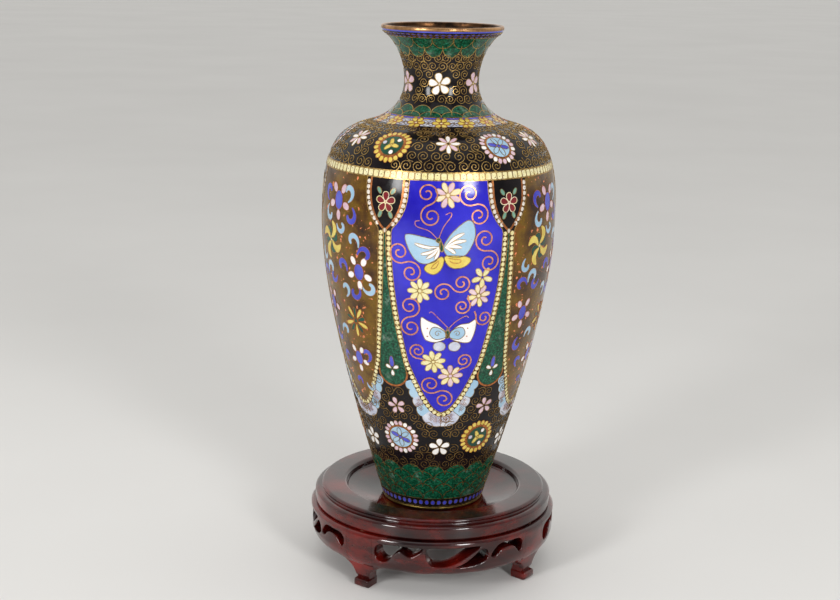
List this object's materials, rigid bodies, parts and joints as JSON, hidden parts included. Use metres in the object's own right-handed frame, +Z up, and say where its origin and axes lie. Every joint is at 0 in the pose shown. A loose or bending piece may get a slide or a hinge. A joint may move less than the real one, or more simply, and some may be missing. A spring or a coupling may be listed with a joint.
{
  "type": "cloisonne vase on a wooden stand",
  "caption": "Baluster vase in cloisonne enamel on copper with brass rim and foot rings, lifting off a turned wooden stand with a pierced apron and bracket feet.",
  "frame": {"origin": "on the table, under the centre of the stand", "axes": "+Z up along the axis of the vase; -Y is the side seen with a blue butterfly panel in front"},
  "size_m": [0.1258, 0.1258, 0.2718],
  "materials": {
    "copper": "plain copper sheet, hidden under the enamel",
    "brass": "worn polished",
    "black_enamel": "polished gloss",
    "green_enamel": "polished gloss",
    "blue_enamel": "polished gloss",
    "goldstone_enamel": "polished gloss over metal flecks",
    "cream_enamel": "polished gloss",
    "yellow_enamel": "polished gloss",
    "turquoise_enamel": "fired gloss, uneven",
    "lacquered_wood": "dark red gloss lacquer",
    "bare_wood": "unfinished"
  },
  "bodies": {
    "stand": {"stand_top": "lacquered_wood", "leg_1": "lacquered_wood", "leg_2": "lacquered_wood", "leg_3": "lacquered_wood", "leg_4": "lacquered_wood", "apron_1": "lacquered_wood", "apron_2": "lacquered_wood", "apron_3": "lacquered_wood", "apron_4": "lacquered_wood", "dowel_1": "bare_wood", "dowel_2": "bare_wood", "dowel_3": "bare_wood", "dowel_4": "bare_wood"},
    "vase": {"copper_lower_body": "copper", "copper_shoulder": "copper", "copper_neck": "copper", "inner_enamel": "turquoise_enamel", "base_plate": "copper", "foot_ring": "brass", "rim_ring": "brass", "foot_dot_band": "blue_enamel", "foot_scale_band": "green_enamel", "lower_ground": "black_enamel", "blue_panel_1": "blue_enamel", "blue_panel_2": "blue_enamel", "blue_panel_3": "blue_enamel", "brown_panel_1": "goldstone_enamel", "brown_panel_2": "goldstone_enamel", "brown_panel_3": "goldstone_enamel", "shield_1": "black_enamel", "shield_2": "black_enamel", "shield_3": "black_enamel", "shield_4": "black_enamel", "shield_5": "black_enamel", "shield_6": "black_enamel", "green_lobe_1": "green_enamel", "green_lobe_2": "green_enamel", "green_lobe_3": "green_enamel", "green_lobe_4": "green_enamel", "green_lobe_5": "green_enamel", "green_lobe_6": "green_enamel", "cream_band": "cream_enamel", "shoulder_ground": "black_enamel", "collar_band": "yellow_enamel", "neck_ground": "black_enamel", "mouth_border": "green_enamel"}
  },
  "joints": [
    {"name": "vase_lift", "type": "slide", "parent": "stand", "child": "vase", "axis": [0, 0, 1], "range_m": [0, 0.08]}
  ]
}
